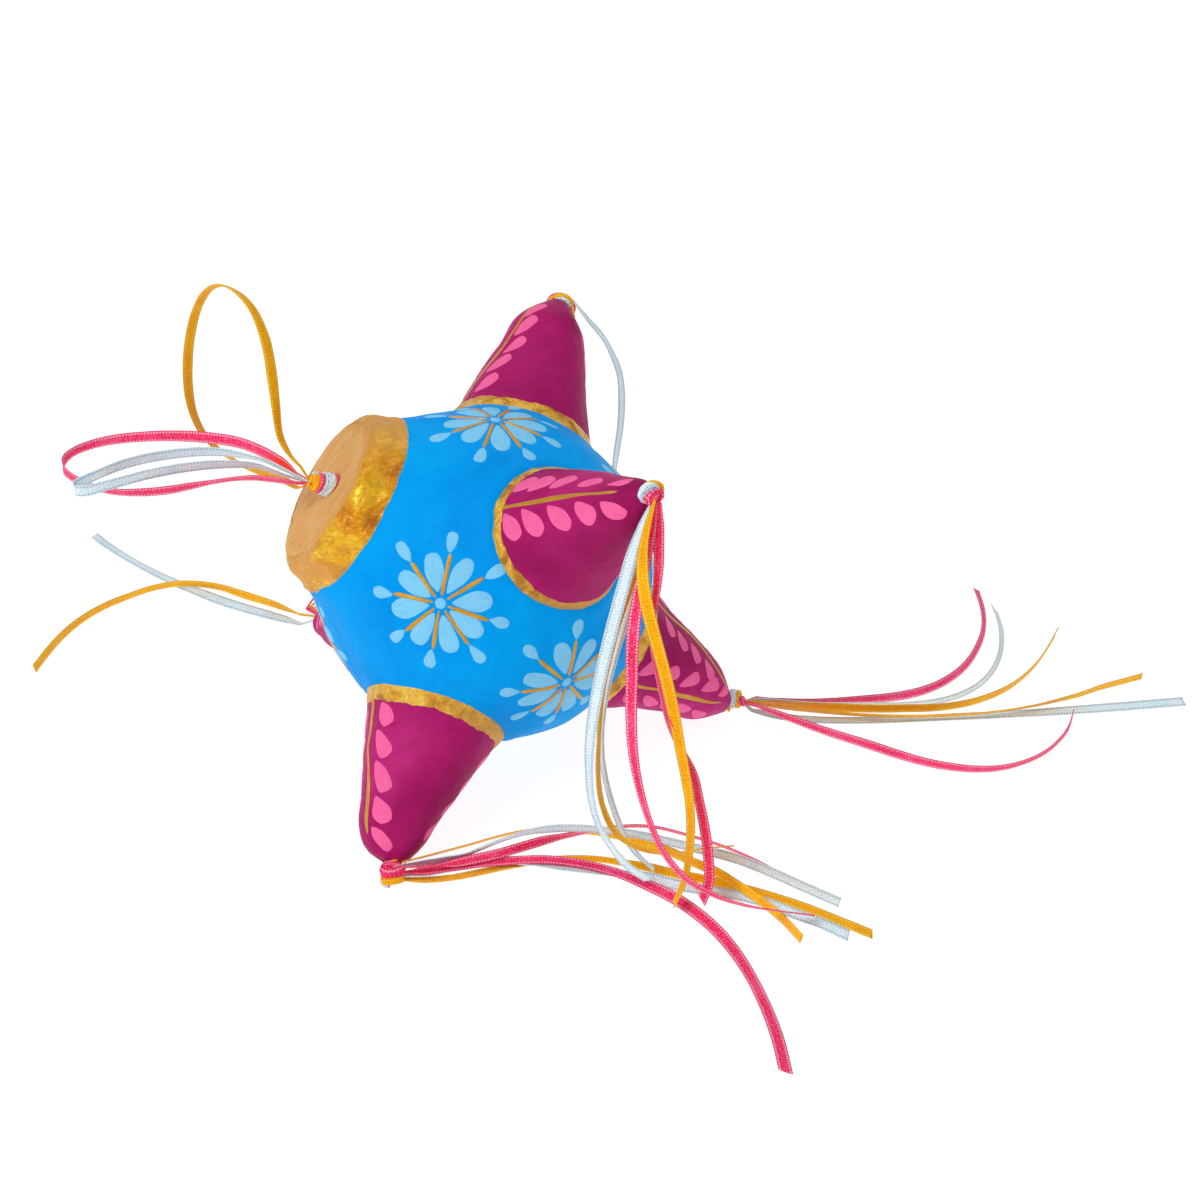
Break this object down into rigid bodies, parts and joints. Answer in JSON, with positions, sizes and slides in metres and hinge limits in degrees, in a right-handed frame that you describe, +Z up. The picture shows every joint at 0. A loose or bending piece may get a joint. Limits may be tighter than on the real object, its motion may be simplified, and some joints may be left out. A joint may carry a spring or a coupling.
{
  "type": "papier mache star ornament",
  "caption": "Hand-painted papier mache star: a hollow globe with cones, a gold cap on a neck, ribbon tails knotted at each cone tip and ribbon loops to hang it by.",
  "frame": {"origin": "on the floor under the middle of the rigid star's box, measured without its ribbon tails and loops", "axes": "+Z up with the star resting on the noses of three cones; +X level, from the gold cap towards the cone opposite it; +Y level, away from the side seen in the picture"},
  "size_m": [0.3091, 0.2512, 0.1294],
  "materials": {
    "globe_paper": "painted papier mache, satin",
    "cone_paper": "painted papier mache, satin",
    "cap_leaf": "gilded papier mache, worn gloss",
    "satin_pink": "satin",
    "satin_silver": "satin",
    "satin_gold": "satin"
  },
  "bodies": {
    "root": {"globe_shell": "globe_paper", "cap": "cap_leaf", "cone_a": "cone_paper", "knot_a_silver": "satin_silver", "knot_a_gold": "satin_gold", "knot_a_pink": "satin_pink", "cone_b": "cone_paper", "knot_b_silver": "satin_silver", "knot_b_gold": "satin_gold", "knot_b_pink": "satin_pink", "cone_c": "cone_paper", "knot_c_pink": "satin_pink", "knot_c_gold": "satin_gold", "knot_c_silver": "satin_silver", "cone_d": "cone_paper", "knot_d_silver": "satin_silver", "knot_d_gold": "satin_gold", "knot_d_pink": "satin_pink", "cone_e": "cone_paper", "knot_e_gold": "satin_gold", "knot_e_silver": "satin_silver", "knot_e_pink": "satin_pink", "knot_cap_silver": "satin_silver", "knot_cap_pink": "satin_pink", "knot_cap_gold": "satin_gold", "tail_a_silver_1": "satin_silver", "tail_a_pink_1": "satin_pink", "tail_a_silver_2": "satin_silver", "tail_a_gold_1": "satin_gold", "tail_a_gold_2": "satin_gold", "tail_a_pink_2": "satin_pink", "tail_b_silver_1": "satin_silver", "tail_b_silver_2": "satin_silver", "tail_b_gold_2": "satin_gold", "tail_b_pink_1": "satin_pink", "tail_b_gold_1": "satin_gold", "tail_b_pink_2": "satin_pink", "tail_c_pink_1": "satin_pink", "tail_c_pink_2": "satin_pink", "tail_c_gold_1": "satin_gold", "tail_c_gold_2": "satin_gold", "tail_c_silver_1": "satin_silver", "tail_c_silver_2": "satin_silver", "tail_d_pink_1": "satin_pink", "tail_d_pink_2": "satin_pink", "tail_d_silver_1": "satin_silver", "tail_d_silver_2": "satin_silver", "tail_d_gold_1": "satin_gold", "tail_d_gold_2": "satin_gold", "tail_e_pink_1": "satin_pink", "tail_e_pink_2": "satin_pink", "tail_e_silver_1": "satin_silver", "tail_e_silver_2": "satin_silver", "tail_e_gold_1": "satin_gold", "tail_e_gold_2": "satin_gold", "loop_gold": "satin_gold", "loop_pink": "satin_pink", "loop_silver": "satin_silver"}
  },
  "joints": []
}
